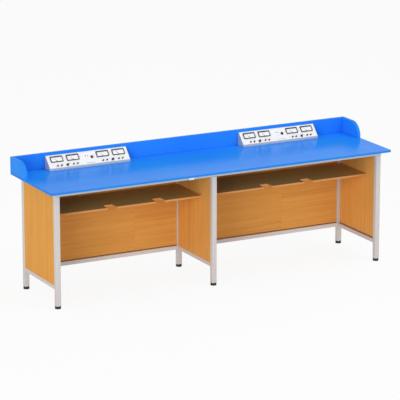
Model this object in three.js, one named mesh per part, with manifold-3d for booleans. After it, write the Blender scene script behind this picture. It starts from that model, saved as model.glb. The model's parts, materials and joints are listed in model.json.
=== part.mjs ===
// School instrument bench: a blue worktop with upstands on a grey tube frame, wood-grain panels,
// a notched book shelf in each of two bays, and two sloped meter consoles against the back upstand.
// Millimetres, +X to the right along the bench, +Y to the back, +Z up, origin on the floor at the middle.

import * as THREE from 'three';
import { mergeVertices } from 'three/addons/utils/BufferGeometryUtils.js';
import Module from 'manifold-3d';

const wasm = await Module();
wasm.setup();

// Worktop and upstands
const topLength = 2400;
const topDepth = 605;
const topThickness = 14;
const topCornerRadius = 12;
const workHeight = 745;
const upstandHeight = 100;
const upstandThickness = 20;
const endUpstandLength = 221;
const endUpstandNose = 8;

// Tube frame
const legWidth = 32;
const legCornerRadius = 4;
const legInset = 65;
const leftBaySpan = 1074;
const railWidth = 25;
const railHeight = 25;
const railCornerRadius = 2.5;
const tubeWall = 1.6;
const lowerRailBottom = 117;

// Levelling feet
const footRadius = 19;
const footHeight = 17;
const footRimHeight = 13.5;
const footNeckRadius = 17;
const footEdge = 1;
const stemRadius = 5;
const stemLength = 34;
const endPlateThickness = 4;

// Boards
const boardThickness = 12;
const boardSetback = 3;
const firstBackBoardWidth = 740;
const shelfTop = 554;
const shelfSetback = 195;
const notchWidth = 63;
const notchDepth = 66;
const notchCornerRadius = 10;
const leftNotchStart = 404;
const leftNotchPitch = 336;
const rightNotchStart = 432;
const rightNotchPitch = 297;

// Consoles
const consoleLength = 556;
const consoleDepth = 73;
const consoleHeight = 82;
const consoleTopDepth = 8;
const consoleLip = 14;
const consoleWall = 1.5;
const leftConsoleInset = 226;
const rightConsoleInset = 249;

// Meters on a console, measured from the middle of the sloping panel and up its slope
const meterWidth = 84;
const meterHeight = 42;
const meterCornerRadius = 2;
const bezelHeight = 6;
const bezelSide = 5;
const bezelTop = 8;
const bezelBottom = 5;
const meterBodyInset = 3;
const meterBodyDepth = 14;
const dialHeight = 1.8;
const meterSlope = 63;
const innerMeterOffset = 103;
const outerMeterOffset = 213;

// Needles
const pivotRise = 3.5;
const pivotPinRadius = 1.1;
const pivotCollarRadius = 2.2;
const needleHubRadius = 3.2;
const needleLength = 23;
const needleRootWidth = 1.8;
const needleTipWidth = 0.7;
const needleThickness = 0.9;
const needleStandoff = 1;
const needleRestAngle = Math.PI / 4;

// Knobs, binding posts and the power button
const controlSlope = 15;
const controlGroupOffset = 156;
const controlShift = 5;
const nearPostOffset = 41;
const farPostOffset = 68;
const knobSkirtRadius = 8.5;
const knobSkirtHeight = 3;
const knobSkirtTaper = 1;
const knobGripRadius = 6.8;
const knobFluteDepth = 0.5;
const knobFlutes = 12;
const knobHeight = 12;
const knobShaftRadius = 3;
const knobShaftLength = 9;
const knobMarkWidth = 1.6;
const knobMarkHeight = 0.6;
const postFlangeRadius = 5;
const postFlangeHeight = 3;
const postCapRadius = 3.9;
const postHeight = 11;
const postRounding = 1.2;
const buttonOffset = 27;
const buttonSlope = 51;
const buttonRadius = 7.5;
const buttonProud = 4;
const buttonTravel = 3;
const buttonDome = 1.2;
const buttonStop = 1.5;
const buttonStopHeight = 2;

// Flat sides on the turned pieces
const footSides = 16;
const controlSides = 20;
const smallSides = 10;

// Clearances
const fit = 0.3;
const runningFit = 0.4;
const cutOverrun = 1;

// Places worked out from the sizes above
const halfLength = topLength / 2;
const halfDepth = topDepth / 2;
const halfLeg = legWidth / 2;
const underTop = workHeight - topThickness;
const legTop = underTop - railHeight;
const legBottom = footHeight + fit;
const lowerRailTop = lowerRailBottom + railHeight;
const legX = {
  left: -halfLength + legInset,
  centre: -halfLength + legInset + leftBaySpan,
  right: halfLength - legInset,
};
const legY = {
  front: -halfDepth + legInset,
  back: halfDepth - legInset,
};
const upstandFace = halfDepth - upstandThickness;
const backBoardFace = legY.back + halfLeg - boardSetback - boardThickness;

const finishes = {
  blueBoard: { color: 0x2f86f2, roughness: 0.35, metalness: 0 },
  greyPaint: { color: 0xcdcbc8, roughness: 0.45, metalness: 0.1 },
  woodBoard: { color: 0xd0893e, roughness: 0.55, metalness: 0 },
  blackPlastic: { color: 0x18181a, roughness: 0.5, metalness: 0 },
  whitePaint: { color: 0xf0eff0, roughness: 0.4, metalness: 0 },
  needlePaint: { color: 0x202022, roughness: 0.5, metalness: 0.2 },
  redPlastic: { color: 0xa01820, roughness: 0.35, metalness: 0 },
};

const bench = new THREE.Group();

/** Adds one named solid to a group, in its own material. */
function addPart(group, name, geometry, finish) {
  const mesh = new THREE.Mesh(geometry, new THREE.MeshStandardMaterial(finish));
  mesh.name = name;
  group.add(mesh);
  return mesh;
}

/** Turns a closed geometry into a solid that can be joined and cut. */
function solidOf(geometry) {
  const bare = geometry.clone();
  bare.deleteAttribute('normal');
  bare.deleteAttribute('uv');
  const merged = mergeVertices(bare, 1e-4);
  return new wasm.Manifold(new wasm.Mesh({
    numProp: 3,
    vertProperties: new Float32Array(merged.attributes.position.array),
    triVerts: new Uint32Array(merged.index.array),
  }));
}

/** Turns a joined or cut solid back into a geometry. */
function geometryOf(solid) {
  const mesh = solid.getMesh();
  const geometry = new THREE.BufferGeometry();
  geometry.setAttribute('position', new THREE.BufferAttribute(new Float32Array(mesh.vertProperties), 3));
  geometry.setIndex(new THREE.BufferAttribute(new Uint32Array(mesh.triVerts), 1));
  geometry.computeVertexNormals();
  return geometry;
}

/** A box between two corners. */
function boxBetween(low, high) {
  const size = high.map((value, axis) => value - low[axis]);
  const middle = high.map((value, axis) => (value + low[axis]) / 2);
  return new THREE.BoxGeometry(...size).translate(...middle);
}

/** Writes a rectangle with rounded corners, centred on the origin, into a shape or a path. */
function roundedRectangle(outline, width, height, radius) {
  const x = width / 2 - radius;
  const y = height / 2 - radius;
  outline.moveTo(x + radius, -y);
  outline.lineTo(x + radius, y);
  outline.absarc(x, y, radius, 0, Math.PI / 2);
  outline.lineTo(-x, y + radius);
  outline.absarc(-x, y, radius, Math.PI / 2, Math.PI);
  outline.lineTo(-x - radius, -y);
  outline.absarc(-x, -y, radius, Math.PI, 1.5 * Math.PI);
  outline.lineTo(x, -y - radius);
  outline.absarc(x, -y, radius, 1.5 * Math.PI, 2 * Math.PI);
  return outline;
}

/** Extrudes a shape along +Z without a bevel. */
function extrude(shape, depth, curveSegments = 4) {
  return new THREE.ExtrudeGeometry(shape, { depth, bevelEnabled: false, curveSegments });
}

/** Extrudes a section drawn back to front and up, so that it runs along +X from zero. */
function extrudeAlongX(shape, length, curveSegments) {
  return extrude(shape, length, curveSegments).rotateX(Math.PI / 2).rotateZ(Math.PI / 2);
}

/** A hollow tube of rounded section along +Z, from zero to its length. */
function tube(width, height, radius, length) {
  const section = roundedRectangle(new THREE.Shape(), width, height, radius);
  const inside = roundedRectangle(
    new THREE.Path(), width - 2 * tubeWall, height - 2 * tubeWall, Math.max(radius - tubeWall, tubeWall / 2));
  section.holes.push(inside);
  return extrude(section, length, 2);
}

/** A solid turned about +Z from its half section, given as radius and height pairs. */
function turned(profile, segments) {
  const points = profile.map(([radius, height]) => new THREE.Vector2(radius, height));
  return new THREE.LatheGeometry(points, segments).rotateX(Math.PI / 2);
}

/** The worktop: one board with rounded front corners. */
function makeWorktop() {
  const outline = new THREE.Shape();
  outline.moveTo(-halfLength, halfDepth);
  outline.lineTo(-halfLength, -halfDepth + topCornerRadius);
  outline.absarc(
    -halfLength + topCornerRadius, -halfDepth + topCornerRadius, topCornerRadius, Math.PI, 1.5 * Math.PI);
  outline.lineTo(halfLength - topCornerRadius, -halfDepth);
  outline.absarc(
    halfLength - topCornerRadius, -halfDepth + topCornerRadius, topCornerRadius, 1.5 * Math.PI, 2 * Math.PI);
  outline.lineTo(halfLength, halfDepth);
  const worktop = addPart(bench, 'worktop', extrude(outline, topThickness, 8), finishes.blueBoard);
  worktop.position.z = underTop;
}

/** The back upstand along the whole top, and the end upstands, rounded above their upright noses. */
function makeUpstands() {
  const back = boxBetween(
    [-halfLength, upstandFace, workHeight], [halfLength, halfDepth, workHeight + upstandHeight]);
  addPart(bench, 'back_upstand', back, finishes.blueBoard);

  const radius = upstandHeight - endUpstandNose;
  const reach = endUpstandLength - upstandThickness;
  const side = new THREE.Shape();
  side.moveTo(0, 0);
  side.lineTo(0, upstandHeight);
  side.lineTo(-reach + radius, upstandHeight);
  side.absarc(-reach + radius, endUpstandNose, radius, Math.PI / 2, Math.PI);
  side.lineTo(-reach, 0);
  for (const [name, x] of [['left', -halfLength], ['right', halfLength - upstandThickness]]) {
    const board = extrudeAlongX(side, upstandThickness, 10);
    const end = addPart(bench, `${name}_end_upstand`, board, finishes.blueBoard);
    end.position.set(x, upstandFace, workHeight);
  }
}

/** A leg: square tube with an end plate that takes the stem of its levelling foot. */
function makeLeg(name, x, y) {
  const post = tube(legWidth, legWidth, legCornerRadius, legTop - legBottom);
  const plateWidth = legWidth - tubeWall;
  const plate = boxBetween(
    [-plateWidth / 2, -plateWidth / 2, tubeWall], [plateWidth / 2, plateWidth / 2, tubeWall + endPlateThickness]);
  const stemHole = turned([
    [0, -cutOverrun],
    [stemRadius + runningFit, -cutOverrun],
    [stemRadius + runningFit, tubeWall + endPlateThickness + cutOverrun],
    [0, tubeWall + endPlateThickness + cutOverrun],
  ], footSides);
  const leg = addPart(
    bench, `leg_${name}`, geometryOf(solidOf(post).add(solidOf(plate)).subtract(solidOf(stemHole))),
    finishes.greyPaint);
  leg.position.set(x, y, legBottom);

  const foot = addPart(bench, `foot_${name}`, turned([
    [0, 0],
    [footRadius - footEdge, 0],
    [footRadius, footEdge],
    [footRadius, footRimHeight],
    [footNeckRadius, footHeight],
    [stemRadius, footHeight],
    [stemRadius, footHeight + stemLength],
    [0, footHeight + stemLength],
  ], footSides), finishes.blackPlastic);
  foot.position.set(x, y, 0);
}

/** A rail along X between two ends, centred at y, standing on z. */
function makeLongRail(name, from, to, y, z, width) {
  const rail = addPart(bench, name, tube(railHeight, width, railCornerRadius, to - from), finishes.greyPaint);
  rail.rotation.y = Math.PI / 2;
  rail.position.set(from, y, z + railHeight / 2);
}

/** A rail along Y between two ends, centred at x, standing on z. */
function makeCrossRail(name, from, to, x, z) {
  const rail = addPart(bench, name, tube(railWidth, railHeight, railCornerRadius, to - from), finishes.greyPaint);
  rail.rotation.x = -Math.PI / 2;
  rail.position.set(x, from, z + railHeight / 2);
}

/** Six legs with feet, the top frame that they carry and the lower rails between them. */
function makeFrame() {
  for (const [row, y] of Object.entries(legY)) {
    for (const [column, x] of Object.entries(legX)) {
      makeLeg(`${row}_${column}`, x, y);
    }
    makeLongRail(`top_rail_${row}`, legX.left - halfLeg, legX.right + halfLeg, y, legTop, legWidth);
  }
  for (const [column, x] of Object.entries(legX)) {
    makeCrossRail(`top_cross_rail_${column}`, legY.front + halfLeg, legY.back - halfLeg, x, legTop);
    makeCrossRail(`lower_side_rail_${column}`, legY.front + halfLeg, legY.back - halfLeg, x, lowerRailBottom);
  }
  makeLongRail(
    'lower_back_rail_left', legX.left + halfLeg, legX.centre - halfLeg, legY.back, lowerRailBottom, railWidth);
  makeLongRail(
    'lower_back_rail_right', legX.centre + halfLeg, legX.right - halfLeg, legY.back, lowerRailBottom, railWidth);
}

/** Left faces of the three side boards, which sit close to the outer faces of their legs. */
const boardX = {
  left: legX.left - halfLeg + boardSetback,
  centre: legX.centre - halfLeg + boardSetback,
  right: legX.right + halfLeg - boardSetback - boardThickness,
};

/** End panels, divider and the two boards behind each bay. */
function makePanels() {
  const sideNames = { left: 'left_end_panel', centre: 'centre_divider_panel', right: 'right_end_panel' };
  for (const [column, x] of Object.entries(boardX)) {
    addPart(bench, sideNames[column], boxBetween(
      [x, legY.front + halfLeg + fit, lowerRailTop],
      [x + boardThickness, legY.back - halfLeg - fit, legTop - fit]), finishes.woodBoard);
  }
  for (const [bay, from, to] of [['left', legX.left, legX.centre], ['right', legX.centre, legX.right]]) {
    const start = from + halfLeg + fit;
    const seam = start + firstBackBoardWidth;
    const end = to - halfLeg - fit;
    for (const [half, low, high] of [['a', start, seam], ['b', seam + fit, end]]) {
      addPart(bench, `back_panel_${bay}_${half}`, boxBetween(
        [low, backBoardFace, lowerRailTop],
        [high, backBoardFace + boardThickness, legTop - fit]), finishes.woodBoard);
    }
  }
}

/** A book shelf between two side boards, cut round the back legs and notched along its front edge. */
function makeShelf(name, left, right, leftLegFace, rightLegFace, notchStart, notchPitch) {
  const front = -halfDepth + shelfSetback;
  const back = backBoardFace - fit;
  const legCut = legY.back - halfLeg - fit;
  const notchBack = front + notchDepth;
  const outline = new THREE.Shape();
  outline.moveTo(left, front);
  for (const notchLeft of [left + notchStart, left + notchStart + notchPitch]) {
    const notchRight = notchLeft + notchWidth;
    outline.lineTo(notchLeft, front);
    outline.lineTo(notchLeft, notchBack - notchCornerRadius);
    outline.absarc(
      notchLeft + notchCornerRadius, notchBack - notchCornerRadius, notchCornerRadius, Math.PI, Math.PI / 2, true);
    outline.lineTo(notchRight - notchCornerRadius, notchBack);
    outline.absarc(
      notchRight - notchCornerRadius, notchBack - notchCornerRadius, notchCornerRadius, Math.PI / 2, 0, true);
    outline.lineTo(notchRight, front);
  }
  outline.lineTo(right, front);
  outline.lineTo(right, legCut);
  outline.lineTo(rightLegFace, legCut);
  outline.lineTo(rightLegFace, back);
  outline.lineTo(leftLegFace, back);
  outline.lineTo(leftLegFace, legCut);
  outline.lineTo(left, legCut);
  const shelf = addPart(bench, name, extrude(outline, boardThickness, 4), finishes.woodBoard);
  shelf.position.z = shelfTop - boardThickness;
}

/** Both book shelves, each between the side boards of its bay. */
function makeShelves() {
  makeShelf(
    'book_shelf_left', boardX.left + boardThickness + fit, boardX.centre - fit,
    legX.left + halfLeg + fit, legX.centre - halfLeg - fit, leftNotchStart, leftNotchPitch);
  makeShelf(
    'book_shelf_right', boardX.centre + boardThickness + fit, boardX.right - fit,
    legX.centre + halfLeg + fit, legX.right - halfLeg - fit, rightNotchStart, rightNotchPitch);
}

/** The sloping panel of a console: how far it runs, how far it rises, and its angle. */
const slopeRun = consoleDepth - consoleTopDepth;
const slopeRise = consoleHeight - consoleLip;
const slopeLength = Math.hypot(slopeRun, slopeRise);
const slopeAngle = Math.atan2(slopeRise, slopeRun);

/** Moves a geometry from the frame of the sloping panel to the frame of its console. */
function ontoSlope(geometry, x, up) {
  return geometry.translate(x, up, 0).rotateX(slopeAngle).translate(0, -consoleDepth, consoleLip);
}

/** A closed outline of points in the plane of a console's end, back to front and up, run along X. */
function consolePrism(points, length) {
  const section = new THREE.Shape(points.map(([reach, height]) => new THREE.Vector2(-reach, height)));
  return extrudeAlongX(section, length, 1).translate(-length / 2, 0, 0);
}

/** The window of a meter, and where meters, needles and controls sit on the sloping panel. */
const windowWidth = meterWidth - 2 * bezelSide;
const windowHeight = meterHeight - bezelTop - bezelBottom;
const windowRise = (bezelBottom - bezelTop) / 2;
const pivotSlope = meterSlope - meterHeight / 2 + bezelBottom + pivotRise;
const meterOffsets = [-outerMeterOffset, -innerMeterOffset, innerMeterOffset, outerMeterOffset];
const controlOffsets = [controlShift - controlGroupOffset, controlShift + controlGroupOffset];

/** The folded steel housing, open below, with its cut-outs and binding posts. */
function consoleHousing() {
  const outside = consolePrism([
    [0, 0],
    [consoleDepth, 0],
    [consoleDepth, consoleLip],
    [consoleTopDepth, consoleHeight],
    [0, consoleHeight],
  ], consoleLength);
  const normalReach = slopeRise / slopeLength;
  const normalHeight = slopeRun / slopeLength;
  const skin = normalReach * consoleDepth + normalHeight * consoleLip - consoleWall;
  const innerFront = consoleDepth - consoleWall;
  const innerTop = consoleHeight - consoleWall;
  const inside = consolePrism([
    [consoleWall, -cutOverrun],
    [innerFront, -cutOverrun],
    [innerFront, (skin - normalReach * innerFront) / normalHeight],
    [(skin - normalHeight * innerTop) / normalReach, innerTop],
    [consoleWall, innerTop],
  ], consoleLength - 2 * consoleWall);
  let housing = solidOf(outside).subtract(solidOf(inside));

  const cutWidth = meterWidth - 2 * meterBodyInset + 2 * fit;
  const cutHeight = meterHeight - 2 * meterBodyInset + 2 * fit;
  const cutDepth = consoleWall + cutOverrun;
  for (const offset of meterOffsets) {
    const cut = boxBetween([-cutWidth / 2, -cutHeight / 2, -cutDepth], [cutWidth / 2, cutHeight / 2, cutDepth]);
    housing = housing.subtract(solidOf(ontoSlope(cut, offset, meterSlope)));
  }
  const hole = (radius) => turned([
    [0, -cutDepth],
    [radius, -cutDepth],
    [radius, cutDepth],
    [0, cutDepth],
  ], controlSides);
  housing = housing.subtract(solidOf(ontoSlope(hole(buttonRadius + runningFit), buttonOffset, buttonSlope)));
  for (const group of controlOffsets) {
    housing = housing.subtract(solidOf(ontoSlope(hole(knobShaftRadius + runningFit), group, controlSlope)));
    for (const side of [-farPostOffset, -nearPostOffset, nearPostOffset, farPostOffset]) {
      const post = turned([
        [0, -consoleWall / 2],
        [postFlangeRadius, -consoleWall / 2],
        [postFlangeRadius, postFlangeHeight],
        [postCapRadius, postFlangeHeight],
        [postCapRadius, postHeight - postRounding],
        [postCapRadius - postRounding, postHeight],
        [0, postHeight],
      ], smallSides);
      housing = housing.add(solidOf(ontoSlope(post, group + side, controlSlope)));
    }
  }
  return geometryOf(housing);
}

/** A panel meter: bezel and body in one moulding, with the sunk dial and the pin that its needle turns on. */
function meterCase() {
  const bezel = extrude(
    roundedRectangle(new THREE.Shape(), meterWidth, meterHeight, meterCornerRadius), bezelHeight - fit)
    .translate(0, 0, fit);
  const bodyWidth = meterWidth - 2 * meterBodyInset;
  const bodyHeight = meterHeight - 2 * meterBodyInset;
  const body = boxBetween(
    [-bodyWidth / 2, -bodyHeight / 2, -meterBodyDepth], [bodyWidth / 2, bodyHeight / 2, dialHeight / 2]);
  const recess = boxBetween(
    [-windowWidth / 2, windowRise - windowHeight / 2, dialHeight],
    [windowWidth / 2, windowRise + windowHeight / 2, bezelHeight + cutOverrun]);
  const pin = turned([
    [0, dialHeight / 2],
    [pivotPinRadius, dialHeight / 2],
    [pivotPinRadius, dialHeight + needleStandoff + needleThickness + fit],
    [0, dialHeight + needleStandoff + needleThickness + fit],
  ], smallSides).translate(0, pivotSlope - meterSlope, 0);
  const collar = turned([
    [0, dialHeight / 2],
    [pivotCollarRadius, dialHeight / 2],
    [pivotCollarRadius, dialHeight + needleStandoff - fit],
    [0, dialHeight + needleStandoff - fit],
  ], smallSides).translate(0, pivotSlope - meterSlope, 0);
  return geometryOf(
    solidOf(bezel).add(solidOf(body)).subtract(solidOf(recess)).add(solidOf(pin)).add(solidOf(collar)));
}

/** A needle pointing up the slope, with its hub round the origin. */
function needleBlade() {
  const outline = new THREE.Shape();
  const rootAngle = Math.acos(needleRootWidth / 2 / needleHubRadius);
  outline.moveTo(needleRootWidth / 2, needleHubRadius * Math.sin(rootAngle));
  outline.lineTo(needleTipWidth / 2, needleLength);
  outline.lineTo(-needleTipWidth / 2, needleLength);
  outline.lineTo(-needleRootWidth / 2, needleHubRadius * Math.sin(rootAngle));
  outline.absarc(0, 0, needleHubRadius, Math.PI - rootAngle, 2 * Math.PI + rootAngle);
  const bore = new THREE.Path();
  bore.absarc(0, 0, pivotPinRadius + fit, 0, 2 * Math.PI);
  outline.holes.push(bore);
  return extrude(outline, needleThickness, 4).translate(0, 0, dialHeight + needleStandoff);
}

/** A fluted knob on a skirt, with a raised mark and its shaft through the panel. */
function knobBody() {
  const flutes = new THREE.Shape();
  const steps = 3 * knobFlutes;
  for (let step = 0; step < steps; step += 1) {
    const angle = 2 * Math.PI * step / steps;
    const radius = knobGripRadius + knobFluteDepth * Math.cos(knobFlutes * angle);
    const corner = [radius * Math.cos(angle), radius * Math.sin(angle)];
    if (step === 0) {
      flutes.moveTo(...corner);
    } else {
      flutes.lineTo(...corner);
    }
  }
  const grip = extrude(flutes, knobHeight - knobSkirtHeight).translate(0, 0, knobSkirtHeight);
  const base = turned([
    [0, -knobShaftLength],
    [knobShaftRadius, -knobShaftLength],
    [knobShaftRadius, runningFit],
    [knobSkirtRadius, runningFit],
    [knobSkirtRadius - knobSkirtTaper, knobSkirtHeight + fit],
    [0, knobSkirtHeight + fit],
  ], controlSides);
  const mark = boxBetween(
    [-knobMarkWidth / 2, 0, knobHeight - knobMarkHeight],
    [knobMarkWidth / 2, knobGripRadius - knobMarkWidth / 2, knobHeight + knobMarkHeight]);
  return geometryOf(solidOf(grip).add(solidOf(base)).add(solidOf(mark)));
}

/** A round push button whose stop bears on the back of the panel. */
function buttonBody() {
  const stopTop = -consoleWall - fit;
  const crown = buttonProud + buttonTravel;
  return turned([
    [0, stopTop - buttonStopHeight],
    [buttonRadius + buttonStop, stopTop - buttonStopHeight],
    [buttonRadius + buttonStop, stopTop],
    [buttonRadius, stopTop],
    [buttonRadius, crown - buttonDome],
    [buttonRadius - buttonDome, crown],
    [0, crown],
  ], controlSides);
}

/** One console, standing on the worktop against the back upstand, with what its panel carries. */
function makeConsole(side, x) {
  const stand = new THREE.Group();
  stand.position.set(x, upstandFace, workHeight);
  bench.add(stand);
  addPart(stand, `console_${side}`, consoleHousing(), finishes.whitePaint);

  const panel = new THREE.Group();
  panel.rotation.x = slopeAngle;
  panel.position.set(0, -consoleDepth, consoleLip);
  stand.add(panel);
  meterOffsets.forEach((offset, index) => {
    const meter = addPart(panel, `meter_${side}_${index + 1}`, meterCase(), finishes.blackPlastic);
    meter.position.set(offset, meterSlope, 0);
    const needle = addPart(panel, `needle_${side}_${index + 1}`, needleBlade(), finishes.needlePaint);
    needle.position.set(offset, pivotSlope, 0);
    needle.rotation.z = needleRestAngle;
  });
  controlOffsets.forEach((offset, index) => {
    const knob = addPart(panel, `knob_${side}_${index + 1}`, knobBody(), finishes.blackPlastic);
    knob.position.set(offset, controlSlope, 0);
  });
  const button = addPart(panel, `button_${side}`, buttonBody(), finishes.redPlastic);
  button.position.set(buttonOffset, buttonSlope, 0);
}

makeWorktop();
makeUpstands();
makeFrame();
makePanels();
makeShelves();
makeConsole('left', -halfLength + leftConsoleInset + consoleLength / 2);
makeConsole('right', halfLength - rightConsoleInset - consoleLength / 2);

export default bench;
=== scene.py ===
"""Dressed model of a two-bay school instrument bench.

A blue laminate worktop with upstands stands on a grey tube frame with wood-grain boards, a notched
book shelf in each bay and two sloped meter consoles against the back upstand.
Metres, +X along the bench to the right, +Y to its back, +Z up, floor at zero.
"""

import json
import logging
import math
from collections.abc import Callable, Iterable, Sequence
from dataclasses import dataclass
from enum import Enum

import bmesh
import bpy
from mathutils import Matrix, Vector

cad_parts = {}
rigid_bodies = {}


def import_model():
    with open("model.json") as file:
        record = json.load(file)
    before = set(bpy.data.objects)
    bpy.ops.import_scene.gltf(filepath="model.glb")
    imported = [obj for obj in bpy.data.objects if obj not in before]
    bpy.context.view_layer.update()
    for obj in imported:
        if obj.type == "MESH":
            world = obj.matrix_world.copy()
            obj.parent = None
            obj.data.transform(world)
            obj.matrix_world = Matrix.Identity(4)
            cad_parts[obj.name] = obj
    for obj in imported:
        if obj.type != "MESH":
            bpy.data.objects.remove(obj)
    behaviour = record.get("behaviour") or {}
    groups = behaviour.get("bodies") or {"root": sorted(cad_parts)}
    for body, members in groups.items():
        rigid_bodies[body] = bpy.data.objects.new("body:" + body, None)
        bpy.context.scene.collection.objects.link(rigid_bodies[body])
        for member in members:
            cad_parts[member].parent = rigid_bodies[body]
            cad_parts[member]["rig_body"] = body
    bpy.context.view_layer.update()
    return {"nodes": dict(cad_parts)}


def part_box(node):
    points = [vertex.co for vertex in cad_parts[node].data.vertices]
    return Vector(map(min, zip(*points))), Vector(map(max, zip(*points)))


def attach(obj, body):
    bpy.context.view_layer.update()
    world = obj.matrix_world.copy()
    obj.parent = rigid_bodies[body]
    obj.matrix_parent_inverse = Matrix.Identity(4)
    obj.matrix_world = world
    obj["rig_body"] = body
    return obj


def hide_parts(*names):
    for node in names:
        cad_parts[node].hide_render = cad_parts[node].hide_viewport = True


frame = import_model()
log = logging.getLogger("bench")

Colour = tuple[float, float, float, float]
Point = Sequence[float]
Section = Sequence[Point]
EdgeTest = Callable[[bmesh.types.BMEdge], bool]

BENCH = "bench"
WELD_DISTANCE = 1e-6
NEAR = 1e-5
SHARP_ANGLE = math.radians(40.0)
# Shares of an edge's run, or of a face's normal, that lie along an axis.
STRAIGHT = 0.999
FACING = 0.9
EDGE_ON = 0.1
UPRIGHT = 0.5
WHITE: Colour = (1.0, 1.0, 1.0, 1.0)
COLUMNS = ("left", "centre", "right")
ROWS = ("front", "back")
SIDES = ("left", "right")


class Axis(Enum):
    """Direction that a tube, a fold or the grain of a board runs in."""

    X = 0
    Y = 1
    Z = 2


class PostColour(Enum):
    """Colour of a binding post's cap."""

    RED = "red"
    BLACK = "black"


class WoodTone(Enum):
    """Light, dark and pore colours of a board's wood-grain print."""

    # END and BAY are lit and shaded copies of one print, painted light and shade: the left end board, which
    # faces the key lamp, is toned down, and the boards in the bays under the worktop are made paler.
    END = ("e9a64d", "da953d", "bb782f")
    BAY = ("ecad5b", "db9848", "b67634")
    SHELF = ("e6a454", "d49042", "ac6c30")
    EDGE = ("e2a362", "d89657", "c08048")


def srgb(code: str) -> Colour:
    """Turns a six-digit screen colour into the linear colour that a shader reads.

    Args:
        code: red, green and blue as hexadecimal pairs.

    Returns:
        The linear colour, fully opaque.
    """
    channels = [int(code[start:start + 2], 16) / 255 for start in (0, 2, 4)]
    linear = [c / 12.92 if c <= 0.04045 else ((c + 0.055) / 1.055) ** 2.4 for c in channels]
    return (linear[0], linear[1], linear[2], 1.0)


def show(name: str, data: bpy.types.ID) -> bpy.types.Object:
    """Puts a mesh, a text, a lamp or a camera into the scene.

    Args:
        name: name of the object.
        data: what it shows.

    Returns:
        The object, at the origin.
    """
    thing = bpy.data.objects.new(name, data)
    bpy.context.scene.collection.objects.link(thing)
    return thing


class Wire:
    """An output of a node tree, with operators that add Math nodes."""

    def __init__(self, book: "NodeBook", socket: bpy.types.NodeSocket) -> None:
        """Keeps the tree that the socket belongs to."""
        self.book = book
        self.socket = socket

    def __add__(self, other: "Wire | float") -> "Wire":
        """Sum with a value."""
        return self.book.math("ADD", self, other)

    def __radd__(self, other: float) -> "Wire":
        """Sum with a number on the left."""
        return self.book.math("ADD", other, self)

    def __sub__(self, other: "Wire | float") -> "Wire":
        """Difference from a value."""
        return self.book.math("SUBTRACT", self, other)

    def __rsub__(self, other: float) -> "Wire":
        """Difference of a number on the left."""
        return self.book.math("SUBTRACT", other, self)

    def __mul__(self, other: "Wire | float") -> "Wire":
        """Product with a value."""
        return self.book.math("MULTIPLY", self, other)

    def __rmul__(self, other: float) -> "Wire":
        """Product with a number on the left."""
        return self.book.math("MULTIPLY", other, self)


class NodeBook:
    """Writes the nodes of one material or world."""

    def __init__(self, owner: bpy.types.Material | bpy.types.World) -> None:
        """Starts an empty node tree.

        Args:
            owner: what the tree belongs to.
        """
        owner.use_nodes = True
        self.tree = owner.node_tree
        self.tree.nodes.clear()

    @staticmethod
    def find(sockets: Iterable[bpy.types.NodeSocket], key: int | str) -> bpy.types.NodeSocket:
        """Finds a socket.

        Args:
            sockets: inputs or outputs of a node.
            key: the socket's index, identifier or name.

        Returns:
            The socket.
        """
        listed = list(sockets)
        if isinstance(key, int):
            return listed[key]
        exact = [socket for socket in listed if socket.identifier == key]
        return exact[0] if exact else next(socket for socket in listed if socket.name == key)

    def node(self, kind: str, settings: dict | None = None, sockets: dict | None = None,
             output: int | str = 0) -> Wire:
        """Adds a node.

        Args:
            kind: the node's type without its common prefix.
            settings: properties of the node, which are set first.
            sockets: values or links of its inputs, by index, identifier or name.
            output: the output that is wanted.

        Returns:
            That output.
        """
        node = self.tree.nodes.new("ShaderNode" + kind)
        for key, value in (settings or {}).items():
            setattr(node, key, value)
        for key, value in (sockets or {}).items():
            socket = self.find(node.inputs, key)
            if isinstance(value, Wire):
                self.tree.links.new(value.socket, socket)
            else:
                socket.default_value = value
        return Wire(self, self.find(node.outputs, output))

    def math(self, operation: str, first: "Wire | float", second: "Wire | float" = 0.0) -> Wire:
        """Adds a Math node on two values."""
        return self.node("Math", {"operation": operation}, {0: first, 1: second})

    def place(self, scale: Point = (1, 1, 1), shift: Point = (0, 0, 0)) -> Wire:
        """Object coordinates, stretched and shifted."""
        here = self.node("TexCoord", output="Object")
        return self.node("Mapping", None, {"Vector": here, "Location": shift, "Scale": scale})

    def height(self) -> Wire:
        """Height above the floor."""
        return self.node("SeparateXYZ", None, {"Vector": self.place()}, "Z")

    def noise(self, where: Wire, scale: float, detail: float, distortion: float = 0.0) -> Wire:
        """Noise from 0 to 1 at a place."""
        return self.node("TexNoise", None, {
            "Vector": where, "Scale": scale, "Detail": detail, "Distortion": distortion})

    def step(self, value: Wire, start: float, end: float) -> Wire:
        """Smooth rise from 0 at start to 1 at end."""
        return self.node("MapRange", {"interpolation_type": "SMOOTHSTEP"}, {
            "Value": value, "From Min": start, "From Max": end})

    def mix(self, share: Wire, first: "Wire | Colour", second: "Wire | Colour") -> Wire:
        """Colour between two colours."""
        return self.node("Mix", {"data_type": "RGBA"}, {
            "Factor_Float": share, "A_Color": first, "B_Color": second}, "Result_Color")

    def bump(self, height: Wire, depth: float, strength: float = 0.5) -> Wire:
        """Normal of a surface with relief of the given depth."""
        return self.node("Bump", None, {"Height": height, "Distance": depth, "Strength": strength})

    def surface(self, sockets: dict) -> None:
        """Ends the material in one Principled shader."""
        self.output(self.node("BsdfPrincipled", None, sockets))

    def output(self, shader: Wire, kind: str = "OutputMaterial") -> None:
        """Links a shader to the output."""
        node = self.tree.nodes.new("ShaderNode" + kind)
        self.tree.links.new(shader.socket, node.inputs["Surface"])

    def seen(self) -> Wire:
        """One for what the camera, gloss and clear windows see, and zero for lighting."""
        camera, gloss, clear = (
            self.node("LightPath", output=f"Is {ray} Ray") for ray in ("Camera", "Glossy", "Transmission"))
        return self.node("Math", {"operation": "ADD", "use_clamp": True}, {0: camera + gloss, 1: clear})


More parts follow.
